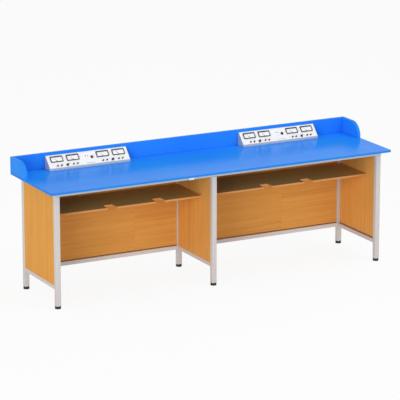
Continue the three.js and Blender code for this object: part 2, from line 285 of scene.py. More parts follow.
@dataclass(frozen=True)
class Finish:
    """A surface finish and the record's slot that it belongs to."""

    name: str
    slot: str

    def material(self) -> bpy.types.Material:
        """Makes the finish's material the first time that it is asked for.

        Returns:
            The material.
        """
        made = bpy.data.materials.get(self.name)
        if made is None:
            made = bpy.data.materials.new(self.name)
            self.write(NodeBook(made))
        return made

    def write(self, book: NodeBook) -> None:
        """Writes the finish's nodes."""
        raise NotImplementedError


@dataclass(frozen=True)
class ColourLaminate(Finish):
    """Coloured laminate with a fine matt grain, wipe marks and a slight drift of tone."""

    colour: str
    deep: str
    roughness: float = 0.2
    specular: float = 0.032

    def write(self, book: NodeBook) -> None:
        """Writes the laminate's nodes.

        Args:
            book: takes the nodes.
        """
        drift = book.noise(book.place((1.0, 2.0, 1.0)), 2.2, 2.0)
        wipe = book.noise(book.place((1.0, 5.0, 1.0)), 6.0, 4.0, 0.4)
        fine = book.noise(book.place(), 1400.0, 2.0)
        strokes = book.noise(book.place((3.0, 160.0, 30.0), (0.4, 0.0, 0.0)), 4.0, 2.0)
        scratch = book.step(strokes, 0.66, 0.74)
        book.surface({
            "Base Color": book.mix(book.step(drift, 0.3, 0.7), srgb(self.deep), srgb(self.colour)),
            "Roughness": self.roughness + 0.1 * (wipe - 0.5) + 0.05 * scratch,
            "Specular IOR Level": self.specular,
            "Normal": book.bump(fine, 0.00004),
        })


@dataclass(frozen=True)
class Paint(Finish):
    """Sprayed paint with a light orange peel, a drift of tone and scuffs near the floor."""

    colour: str
    scuffed: str
    roughness: float = 0.42
    scuffs: float = 0.5

    def write(self, book: NodeBook) -> None:
        """Writes the paint's nodes.

        Args:
            book: takes the nodes.
        """
        peel = book.noise(book.place(), 420.0, 2.0)
        drift = book.noise(book.place(), 3.0, 2.0)
        low = 1.0 - book.step(book.height(), 0.02, 0.22)
        marks = low * book.step(book.noise(book.place((1.0, 1.0, 2.5)), 55.0, 5.0), 0.52, 0.72)
        share = self.scuffs * marks + 0.16 * drift
        book.surface({
            "Base Color": book.mix(share, srgb(self.colour), srgb(self.scuffed)),
            "Roughness": self.roughness + 0.12 * (drift - 0.5) + 0.15 * marks,
            "Specular IOR Level": 0.4,
            "Normal": book.bump(peel, 0.00012),
        })


@dataclass(frozen=True)
class GrainLaminate(Finish):
    """Wood-grain laminate, cut from its own place in a sheet whose figure runs along one direction."""

    grain: Axis
    tone: WoodTone
    cut: Point

    def along_grain(self, book: NodeBook, stretch: float) -> Wire:
        """Object coordinates, drawn out along the grain.

        Args:
            book: takes the nodes.
            stretch: scale along the grain.

        Returns:
            The coordinates.
        """
        scale = [1.0, 1.0, 1.0]
        scale[self.grain.value] = stretch
        return book.place(scale, self.cut)

    def write(self, book: NodeBook) -> None:
        """Writes the laminate's nodes.

        Args:
            book: takes the nodes.
        """
        light, dark, pore = (srgb(code) for code in self.tone.value)
        figure = book.noise(self.along_grain(book, 0.05), 7.0, 3.0, 0.5)
        rings = 0.5 + 0.5 * book.math("SINE", 62.0 * figure)
        lines = book.step(book.noise(self.along_grain(book, 0.02), 78.0, 3.0), 0.34, 0.66)
        streak = book.noise(self.along_grain(book, 0.018), 230.0, 4.0)
        veins = book.step(book.noise(self.along_grain(book, 0.012), 46.0, 2.0), 0.58, 0.68)
        pores = book.step(book.noise(self.along_grain(book, 0.018), 620.0, 2.0), 0.6, 0.74)
        tone = 0.07 + 0.14 * rings + 0.32 * lines + 0.36 * book.step(streak, 0.3, 0.7)
        book.surface({
            "Base Color": book.mix(0.4 * pores + 0.2 * veins, book.mix(tone, dark, light), pore),
            "Roughness": 0.5 + 0.1 * (streak - 0.5) + 0.08 * pores,
            "Specular IOR Level": 0.08,
            "Normal": book.bump(streak - 0.6 * pores, 0.00005),
        })


@dataclass(frozen=True)
class Moulding(Finish):
    """Moulded plastic with a fine spark texture and a trace of dust."""

    colour: str
    dust: str
    roughness: float = 0.4
    coat: float = 0.0

    def write(self, book: NodeBook) -> None:
        """Writes the plastic's nodes.

        Args:
            book: takes the nodes.
        """
        spark = book.noise(book.place(), 2600.0, 2.0)
        dust = book.noise(book.place(), 160.0, 4.0)
        share = 0.22 * book.step(dust, 0.45, 0.8)
        book.surface({
            "Base Color": book.mix(share, srgb(self.colour), srgb(self.dust)),
            "Roughness": self.roughness + 0.16 * (dust - 0.5),
            "Coat Weight": self.coat,
            "Normal": book.bump(spark, 0.00003),
        })


@dataclass(frozen=True)
class PrintedCard(Finish):
    """Matt dial card with a faint paper fibre."""

    colour: str
    shade: str

    def write(self, book: NodeBook) -> None:
        """Writes the card's nodes.

        Args:
            book: takes the nodes.
        """
        fibre = book.noise(book.place((1.0, 1.6, 1.0)), 900.0, 4.0)
        book.surface({
            "Base Color": book.mix(fibre, srgb(self.shade), srgb(self.colour)),
            "Roughness": 0.62 + 0.1 * (fibre - 0.5),
            "Normal": book.bump(fibre, 0.00002, 0.4),
        })


@dataclass(frozen=True)
class ClearWindow(Finish):
    """Thin clear window with light wipe marks."""

    tint: str
    cover: float = 0.06

    def write(self, book: NodeBook) -> None:
        """Writes the window's nodes.

        Args:
            book: takes the nodes.
        """
        wipe = book.noise(book.place((1.0, 3.0, 1.0)), 90.0, 3.0)
        book.surface({
            "Base Color": srgb(self.tint),
            "Roughness": 0.06 + 0.08 * wipe,
            "Alpha": self.cover,
        })


@dataclass(frozen=True)
class Plated(Finish):
    """Bright plated steel with a fine brushed grain."""

    colour: str
    roughness: float = 0.24

    def write(self, book: NodeBook) -> None:
        """Writes the metal's nodes.

        Args:
            book: takes the nodes.
        """
        brush = book.noise(book.place((1.0, 1.0, 12.0)), 700.0, 3.0)
        book.surface({
            "Base Color": srgb(self.colour),
            "Metallic": 1.0,
            "Roughness": self.roughness + 0.14 * (brush - 0.5),
            "Normal": book.bump(brush, 0.00002, 0.4),
        })


@dataclass(frozen=True)
class StudioPaper(Finish):
    """White floor that lights the bench as pale paper does and keeps a soft shadow."""

    lit: Colour = (0.9, 0.9, 0.9, 1.0)
    shadow_share: float = 0.1

    def write(self, book: NodeBook) -> None:
        """Writes the floor's nodes.

        Args:
            book: takes the nodes.
        """
        paper = book.node("BsdfDiffuse", None, {"Color": self.lit})
        glow = book.node("Emission", None, {"Color": WHITE, "Strength": 1.0})
        share = (1.0 - self.shadow_share) * book.seen()
        book.output(book.node("MixShader", None, {0: share, 1: paper, 2: glow}))


WORKTOP_BLUE = ColourLaminate("worktop_blue", "blue_board", "2992fb", "238bf9")
# A darker copy of the worktop laminate for its upright edges: painted shade.
WORKTOP_EDGE_SHADED = ColourLaminate("worktop_edge_painted_shade_blue", "blue_board", "2a8ae6", "2484e3", 0.36)
# The upstands' blues are their own copies of the laminate, set to how light falls on each: painted light
# and shade.
UPSTAND_BLUE_PAINTED_LIGHT = ColourLaminate("upstand_blue", "blue_board", "2e8df6", "2886f4", 0.36)
END_UPSTAND_BLUE_PAINTED_LIGHT = ColourLaminate("end_upstand_blue", "blue_board", "2e95f8", "288ef6", 0.36)
FRAME_GREY = Paint("frame_grey", "grey_paint", "cfcac7", "aca8a4")
# A paler copy of the frame paint for the lower back rails: painted light, for more bounce from the floor
# than the lamps give them.
BACK_RAIL_LIT_GREY = Paint("back_rail_painted_light_grey", "grey_paint", "e1dddb", "bab6b2")
CONSOLE_WHITE = Paint("console_white", "white_paint", "f0f0ee", "e0e1e2", 0.36, 0.0)
# A darker copy of the console paint for the housing's upright faces, the front lip among them: painted
# shade.
CONSOLE_LIP_SHADED = Paint("console_lip_painted_shade", "white_paint", "c0c2c4", "b2b4b6", 0.4, 0.0)
# A greyer, darker copy of the console paint for the end plates: painted shade on the ends, which the key
# lamp lights strongly.
CONSOLE_END_SHADED = Paint("console_end_painted_shade", "white_paint", "b0b2bd", "a9abb4", 0.4, 0.0)
METER_BLACK = Moulding("meter_black_moulding", "meter_black", "1b1b1e", "4a4a4c", 0.35)
KNOB_BLACK = Moulding("knob_black_moulding", "knob_black", "151517", "3c3c3e", 0.42)
POINTER_WHITE = Moulding("pointer_white", "white_paint", "efeeea", "d8d6d0", 0.5)
BUTTON_RED = Moulding("button_red_moulding", "button_red", "4c0d14", "6a2a30", 0.36, 0.1)
POST_RED = Moulding("post_red_moulding", "post_red", "5e1b20", "764448", 0.45)
POST_BLACK = Moulding("post_black_moulding", "post_black", "1d1d1f", "404042", 0.45)
POST_COATS = {PostColour.RED: POST_RED, PostColour.BLACK: POST_BLACK}
LAMP_AMBER = Moulding("lamp_amber_moulding", "post_red", "b4661c", "b07a3c", 0.3, 0.3)
# Dark brown of the strips at the boards' feet: painted shade where the boards meet the rails.
SHADOW_STRIP_BROWN = Moulding("painted_shadow_strip_moulding", "lengthwise_grain_board", "70482a", "80593a", 0.6)
# White of the small piece on the front rail, which gives a bright spot there.
BRIGHT_SPOT_WHITE = Moulding("bright_spot_white_moulding", "white_paint", "fbfbfb", "ececec", 0.4)
FOOT_BLACK = Moulding("foot_black_moulding", "foot_black", "0c0c0d", "3a3836", 0.6)
DIAL_CARD = PrintedCard("dial_card_print", "dial_card", "fdfdfd", "f6f6f7")
SCALE_INK = Moulding("scale_ink", "dial_card", "a6a6ac", "b2b2b8", 0.6)
RULE_INK = Moulding("rule_ink", "dial_card", "2c2c30", "3e3e42", 0.6)
METER_WINDOW = ClearWindow("meter_window", "meter_glass", "f4f8fa")
NEEDLE_PAINT = Moulding("needle_black", "needle_paint", "5c5c64", "6e6e76", 0.4)
PLATED_STEEL = Plated("plated_steel_fixings", "plated_steel", "d9d9d6")
STUDIO_PAPER = StudioPaper("studio_paper", "")


def along(axis: Axis) -> EdgeTest:
    """Makes a test for edges that run along an axis.

    Args:
        axis: the axis.

    Returns:
        The test.
    """
    def test(edge: bmesh.types.BMEdge) -> bool:
        """Whether the edge runs along the axis."""
        run = edge.verts[1].co - edge.verts[0].co
        return abs(run[axis.value]) > STRAIGHT * run.length
    return test


def at(axis: Axis, place: float) -> EdgeTest:
    """Makes a test for edges that lie at one place along an axis.

    Args:
        axis: the axis.
        place: the place along it.

    Returns:
        The test.
    """
    def test(edge: bmesh.types.BMEdge) -> bool:
        """Whether both ends of the edge lie there."""
        return all(abs(vert.co[axis.value] - place) < NEAR for vert in edge.verts)
    return test


def rim(edge: bmesh.types.BMEdge) -> bool:
    """Whether an edge lies between a level face and an upright one."""
    level = sorted(abs(face.normal.z) for face in edge.link_faces)
    return len(level) == 2 and level[0] < EDGE_ON and level[1] > FACING


def every(edge: bmesh.types.BMEdge) -> bool:
    """Passes any edge that has faces."""
    return bool(edge.link_faces)


class Workpiece:
    """A mesh in the making, shaped by mesh operators in the bench's frame."""

    def __init__(self) -> None:
        """Starts an empty mesh."""
        self.mesh = bmesh.new()

    @classmethod
    def copy_of(cls, mesh: bpy.types.Mesh) -> "Workpiece":
        """Starts a piece from a mesh.

        Args:
            mesh: the mesh, which is kept.

        Returns:
            The piece.
        """
        piece = cls()
        piece.mesh.from_mesh(mesh)
        return piece

    @classmethod
    def block(cls, low: Point, high: Point) -> "Workpiece":
        """Makes a block between two corners.

        Args:
            low: lowest corner.
            high: highest corner.

        Returns:
            The block.
        """
        piece = cls()
        low, high = Vector(low), Vector(high)
        matrix = Matrix.Translation((low + high) / 2) @ Matrix.Diagonal((*(high - low), 1.0))
        bmesh.ops.create_cube(piece.mesh, size=1.0, matrix=matrix)
        piece.mesh.normal_update()
        return piece

    @classmethod
    def turned(cls, profile: Section, steps: int, ring: bool = False) -> "Workpiece":
        """Makes a piece turned about +Z.

        Args:
            profile: radius and height pairs.
            steps: sides of the turned piece.
            ring: whether the profile closes on itself.

        Returns:
            The turned piece.
        """
        piece = cls()
        verts = [piece.mesh.verts.new((radius, 0.0, height)) for radius, height in profile]
        pairs = list(zip(verts, verts[1:])) + ([(verts[-1], verts[0])] if ring else [])
        edges = [piece.mesh.edges.new(pair) for pair in pairs]
        bmesh.ops.spin(piece.mesh, geom=verts + edges, cent=(0, 0, 0), axis=(0, 0, 1), dvec=(0, 0, 0),
                       angle=math.tau, steps=steps, use_merge=True)
        piece.close()
        return piece

    @classmethod
    def plate(cls, outline: Sequence[Point], run: Point) -> "Workpiece":
        """Makes a plate from a flat outline.

        Args:
            outline: corners of the outline, in order.
            run: how far it is extruded.

        Returns:
            The plate.
        """
        piece = cls()
        piece.mesh.faces.new([piece.mesh.verts.new(point) for point in outline])
        piece.extrude(list(piece.mesh.faces), run)
        piece.close()
        return piece

    def extrude(self, faces: list[bmesh.types.BMFace], run: Point) -> None:
        """Extrudes faces.

        Args:
            faces: the faces, which stay as the near side.
            run: how far they go.
        """
        made = bmesh.ops.extrude_face_region(self.mesh, geom=faces, use_keep_orig=True)["geom"]
        verts = [item for item in made if isinstance(item, bmesh.types.BMVert)]
        bmesh.ops.translate(self.mesh, verts=verts, vec=run)

    def close(self) -> None:
        """Merges doubled points and turns the faces outwards."""
        bmesh.ops.remove_doubles(self.mesh, verts=self.mesh.verts, dist=WELD_DISTANCE)
        bmesh.ops.recalc_face_normals(self.mesh, faces=self.mesh.faces)
        self.mesh.normal_update()

    def round(self, test: EdgeTest, radius: float, segments: int = 3) -> "Workpiece":
        """Rounds the edges that pass a test.

        Args:
            test: the test.
            radius: width of the rounding.
            segments: faces across it.

        Returns:
            This piece.
        """
        edges = [edge for edge in self.mesh.edges if test(edge)]
        bmesh.ops.bevel(self.mesh, geom=edges, offset=radius, offset_type="OFFSET", segments=segments,
                        profile=0.5, affect="EDGES", clamp_overlap=True, material=-1)
        self.mesh.normal_update()
        return self

    def move(self, matrix: Matrix) -> "Workpiece":
        """Moves the whole piece.

        Args:
            matrix: the move.

        Returns:
            This piece.
        """
        bmesh.ops.transform(self.mesh, matrix=matrix, verts=self.mesh.verts)
        self.mesh.normal_update()
        return self

    def join(self, other: "Workpiece", matrix: Matrix | None = None) -> "Workpiece":
        """Adds another piece to this one.

        Args:
            other: the piece, which is used up.
            matrix: where it goes, if it isn't in its place.

        Returns:
            This piece.
        """
        if matrix is not None:
            other.move(matrix)
        data = bpy.data.meshes.new("joined")
        other.mesh.to_mesh(data)
        other.mesh.free()
        self.mesh.from_mesh(data)
        bpy.data.meshes.remove(data)
        return self

    def finish(self, name: str, coat: Finish, body: str = BENCH, stands_for: Sequence[str] = (),
               edging: Finish | None = None) -> bpy.types.Object:
        """Makes the piece an object of the bench.

        Args:
            name: name of the object.
            coat: its finish.
            body: the body that it moves with.
            stands_for: solids that it is shown for.
            edging: finish of its upright faces, where they have their own.

        Returns:
            The object.
        """
        self.close()
        data = bpy.data.meshes.new(name)
        self.mesh.to_mesh(data)
        self.mesh.free()
        data.shade_smooth()
        data.set_sharp_from_angle(angle=SHARP_ANGLE)
        data.materials.append(coat.material())
        if edging:
            data.materials.append(edging.material())
            for face in data.polygons:
                face.material_index = int(abs(face.normal.z) < UPRIGHT)
        piece = show(name, data)
        weighted = piece.modifiers.new("even_faces", "WEIGHTED_NORMAL")
        weighted.keep_sharp = True
        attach(piece, body)
        if stands_for:
            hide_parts(*stands_for)
        return piece


@dataclass
class Worktop:
    """The worktop board with rounded front corners and an edge band."""

    corner_radius: float = 0.012
    edge_radius: float = 0.0015

    def build(self) -> list[bpy.types.Object]:
        """Builds the board.

        Returns:
            The board.
        """
        low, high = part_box("worktop")
        board = Workpiece.block(low, high)

        def front_corner(edge: bmesh.types.BMEdge) -> bool:
            """Whether an edge is an upright front corner."""
            return along(Axis.Z)(edge) and edge.verts[0].co.y < 0.0
        board.round(front_corner, self.corner_radius, 12).round(rim, self.edge_radius)
        # The upright edges take the darker copy of the laminate, a painted shade.
        return [board.finish("worktop_board", WORKTOP_BLUE, stands_for=["worktop"], edging=WORKTOP_EDGE_SHADED)]


@dataclass
class Upstands:
    """The back upstand and the two end upstands with quarter-round front corners."""

    corner_radius: float = 0.092
    edge_radius: float = 0.002

    def end(self, name: str) -> bpy.types.Object:
        """Makes an end upstand.

        Args:
            name: name of its solid.

        Returns:
            The board.
        """
        low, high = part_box(name)
        board = Workpiece.block(low, high)

        def nose(edge: bmesh.types.BMEdge) -> bool:
            """Whether an edge is the upper front one."""
            return at(Axis.Y, low.y)(edge) and at(Axis.Z, high.z)(edge)

        def outline(edge: bmesh.types.BMEdge) -> bool:
            """Whether an edge runs round a side face."""
            flat = sorted(abs(face.normal.x) for face in edge.link_faces)
            return flat[0] < EDGE_ON and flat[1] > FACING
        board.round(nose, self.corner_radius, 24).round(outline, self.edge_radius)
        return board.finish(f"{name}_board", END_UPSTAND_BLUE_PAINTED_LIGHT, stands_for=[name])

    def build(self) -> list[bpy.types.Object]:
        """Builds the three boards.

        Returns:
            The boards.
        """
        back = Workpiece.block(*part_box("back_upstand")).round(rim, self.edge_radius)
        pieces = [back.finish("back_upstand_board", UPSTAND_BLUE_PAINTED_LIGHT, stands_for=["back_upstand"])]
        return pieces + [self.end(f"{side}_end_upstand") for side in SIDES]


@dataclass
class TubeFrame:
    """Legs, rails, weld beads and end caps of the steel frame, and a small white piece that gives a bright
    spot on the front rail.
    """

    leg_radius: float = 0.004
    rail_radius: float = 0.0025
    wall: float = 0.0016
    bead_width: float = 0.0035
    bead_proud: float = 0.0009
    cap_thickness: float = 0.002
    clip_middle: float = -0.222
    clip_length: float = 0.034
    clip_rise: float = 0.014
    clip_wall: float = 0.0012

    def tube(self, name: str, axis: Axis, radius: float, coat: Finish = FRAME_GREY) -> bpy.types.Object:
        """Makes a square tube for one solid, with its wall showing at its ends.

        Args:
            name: name of the solid.
            axis: direction of the tube.
            radius: outer corner radius.
            coat: its paint.

        Returns:
            The tube.
        """
        bar = Workpiece.block(*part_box(name)).round(along(axis), radius, 5)
        ends = [face for face in bar.mesh.faces if abs(face.normal[axis.value]) > FACING]
        for end in ends:
            bmesh.ops.inset_region(bar.mesh, faces=[end], thickness=self.wall, use_even_offset=True)
            bmesh.ops.translate(bar.mesh, verts=end.verts, vec=-self.wall * end.normal)
        return bar.finish(f"{name}_tube", coat, stands_for=[name])

    def bead(self, beads: Workpiece, name: str, axis: Axis) -> None:
        """Adds weld beads round both ends of a rail.

        Args:
            beads: the piece that takes them.
            name: name of the rail's solid.
            axis: direction of the rail.
        """
        low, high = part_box(name)
        proud = Vector([self.bead_proud] * 3)
        for start in (low[axis.value], high[axis.value] - self.bead_width):
            near, far = low - proud, high + proud
            near[axis.value], far[axis.value] = start, start + self.bead_width
            beads.join(Workpiece.block(near, far).round(every, self.bead_proud))

    def end_caps(self) -> bpy.types.Object:
        """Makes the caps on the ends of the front and back top rails.

        Returns:
            The caps.
        """
        caps = Workpiece()
        for row in ROWS:
            low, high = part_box(f"top_rail_{row}")
            for face, outer in ((low.x, low.x - self.cap_thickness), (high.x, high.x + self.cap_thickness)):
                start, end = sorted((face, outer))
                cap = Workpiece.block((start, low.y, low.z), (end, high.y, high.z))
                cap.round(along(Axis.X), self.rail_radius, 4)
                caps.join(cap.round(at(Axis.X, outer), self.cap_thickness / 2))
        return caps.finish("rail_end_caps", FRAME_GREY)

    def clip(self) -> bpy.types.Object:
        """Makes a small white piece bent over the lower edge of the front rail, giving a bright spot there.

        Returns:
            The piece.
        """
        low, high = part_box("top_rail_front")
        wall, start = self.clip_wall, self.clip_middle - self.clip_length / 2
        foot, top = low.z - wall, low.z + self.clip_rise
        corners = [(low.y - wall, top), (low.y - wall, foot), (high.y + wall, foot), (high.y + wall, top),
                   (high.y, top), (high.y, low.z), (low.y, low.z), (low.y, top)]
        clip = Workpiece.plate([(start, y, z) for y, z in corners], (self.clip_length, 0.0, 0.0))
        return clip.round(every, wall / 4, 2).finish("front_rail_bright_spot", BRIGHT_SPOT_WHITE)

    def build(self) -> list[bpy.types.Object]:
        """Builds the frame.

        Returns:
            The frame's pieces.
        """
        pieces = [self.tube(f"leg_{row}_{column}", Axis.Z, self.leg_radius)
                  for row in ROWS for column in COLUMNS]
        rails = [(f"{level}_{column}", Axis.Y, FRAME_GREY)
                 for level in ("top_cross_rail", "lower_side_rail") for column in COLUMNS]
        # The lower back rails take the paler copy of the paint, a painted light.
        rails += [(f"lower_back_rail_{side}", Axis.X, BACK_RAIL_LIT_GREY) for side in SIDES]
        beads = Workpiece()
        for name, axis, coat in rails:
            pieces.append(self.tube(name, axis, self.rail_radius, coat))
            self.bead(beads, name, axis)
        pieces.append(beads.finish("weld_beads", FRAME_GREY))
        pieces += [self.tube(f"top_rail_{row}", Axis.X, self.rail_radius) for row in ROWS]
        return pieces + [self.end_caps(), self.clip()]


@dataclass
class LevellingFeet:
    """Turned levelling feet with their stems."""

    foot_height: float = 0.017
    rim_height: float = 0.0135
    neck_step: float = 0.002
    edge: float = 0.001
    stem_radius: float = 0.005
    sides: int = 48

    def profile(self, radius: float, height: float) -> Section:
        """Works out the half section of a foot.

        Args:
            radius: radius of its rim.
            height: height of its stem's top.

        Returns:
            Radius and height pairs, from the middle of the underside up.
        """
        neck, edge, chamfer = radius - self.neck_step, self.edge, self.edge / 4
        return [(0.0, 0.0), (radius - edge, 0.0), (radius - chamfer, chamfer), (radius, edge),
                (radius, self.rim_height - edge), (radius - chamfer, self.rim_height),
                (neck + chamfer, self.foot_height - edge), (neck - chamfer, self.foot_height),
                (self.stem_radius, self.foot_height), (self.stem_radius, height), (0.0, height)]

    def build(self) -> list[bpy.types.Object]:
        """Builds the six feet.

        Returns:
            The feet.
        """
        pieces = []
        for name in (f"foot_{row}_{column}" for row in ROWS for column in COLUMNS):
            low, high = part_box(name)
            foot = Workpiece.turned(self.profile((high.x - low.x) / 2, high.z - low.z), self.sides)
            foot.move(Matrix.Translation(((low.x + high.x) / 2, (low.y + high.y) / 2, low.z)))
            pieces.append(foot.finish(f"{name}_turned", FOOT_BLACK, name, [name]))
        return pieces


@dataclass
class Boards:
    """End panels, divider and the boards behind the bays, with dark strips at their feet that paint the
    shade where the boards meet the rails.
    """

    edge_radius: float = 0.0004
    upright: tuple[str, ...] = ("left_end_panel", "centre_divider_panel", "right_end_panel")
    lengthwise: tuple[str, ...] = (
        "back_panel_left_a", "back_panel_left_b", "back_panel_right_a", "back_panel_right_b")
    outer: str = "left_end_panel"
    cut_step: tuple[float, float, float] = (0.37, 0.53, 0.29)
    strip_height: float = 0.005
    strip_proud: float = 0.0012

    def strips(self) -> bpy.types.Object:
        """Makes dark strips along the feet of the boards that face into the bays, as painted shade where
        they meet the rails.

        Returns:
            The strips.
        """
        strips = Workpiece()
        for name in self.lengthwise + self.upright[-1:]:
            near, far = (corner.copy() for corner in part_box(name))
            across = (Axis.Y if name in self.lengthwise else Axis.X).value
            far[across] = near[across]
            near[across] -= self.strip_proud
            far.z = near.z + self.strip_height
            strips.join(Workpiece.block(near, far).round(every, self.strip_proud / 4, 2))
        return strips.finish("board_foot_painted_shadow_strips", SHADOW_STRIP_BROWN)

    def build(self) -> list[bpy.types.Object]:
        """Builds the boards, each cut from its own place in the sheet.

        Returns:
            The boards and the strips.
        """
        pieces = []
        for index, name in enumerate(self.upright + self.lengthwise):
            is_upright = name in self.upright
            # The outer end board takes the toned-down copy of the print and the boards in the bays the
            # paler one: painted light and shade.
            coat = GrainLaminate(
                f"{name}_laminate",
                "upright_grain_board" if is_upright else "lengthwise_grain_board",
                Axis.Z if is_upright else Axis.X,
                WoodTone.END if name == self.outer else WoodTone.BAY,
                tuple(index * step for step in self.cut_step))
            board = Workpiece.block(*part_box(name)).round(every, self.edge_radius, 2)
            pieces.append(board.finish(f"{name}_board", coat, stands_for=[name]))
        return pieces + [self.strips()]


@dataclass
class BookShelf:
    """A book shelf cut round the back legs, with two rounded notches in its front edge."""

    side: str
    notch_start: float
    notch_pitch: float
    cut: Point
    notch_width: float = 0.063
    notch_depth: float = 0.066
    notch_radius: float = 0.01
    fit: float = 0.0003
    edge_radius: float = 0.0007

    def outline(self, low: Vector, high: Vector) -> list[Vector]:
        """Works out the corners of the shelf's underside, with the notches still square.

        Args:
            low: lowest corner of the shelf.
            high: highest corner of the shelf.

        Returns:
            The corners in order.
        """
        ends = ("left", "centre") if self.side == "left" else ("centre", "right")
        left_leg, right_leg = (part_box(f"leg_back_{column}") for column in ends)
        leg_cut = left_leg[0].y - self.fit
        inner = (left_leg[1].x + self.fit, right_leg[0].x - self.fit)
        spots = [(low.x, low.y)]
        for start in (low.x + self.notch_start, low.x + self.notch_start + self.notch_pitch):
            end = start + self.notch_width
            back = low.y + self.notch_depth
            spots += [(start, low.y), (start, back), (end, back), (end, low.y)]
        spots += [(high.x, low.y), (high.x, leg_cut), (inner[1], leg_cut), (inner[1], high.y)]
        spots += [(inner[0], high.y), (inner[0], leg_cut), (low.x, leg_cut)]
        return [Vector((x, y, low.z)) for x, y in spots]

    def build(self) -> list[bpy.types.Object]:
        """Builds the shelf.

        Returns:
            The shelf.
        """
        name = f"book_shelf_{self.side}"
        low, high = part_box(name)
        shelf = Workpiece.plate(self.outline(low, high), (0.0, 0.0, high.z - low.z))
        at_back = at(Axis.Y, low.y + self.notch_depth)

        def notch_corner(edge: bmesh.types.BMEdge) -> bool:
            """Whether an edge is an inner corner of a notch."""
            return along(Axis.Z)(edge) and at_back(edge)
        shelf.round(notch_corner, self.notch_radius, 6).round(rim, self.edge_radius, 2)
        coat, edging = (
            GrainLaminate(f"{name}_{word}", "lengthwise_grain_board", Axis.X, tone, self.cut)
            for word, tone in (("laminate", WoodTone.SHELF), ("edging", WoodTone.EDGE)))
        return [shelf.finish(f"{name}_board", coat, stands_for=[name], edging=edging)]


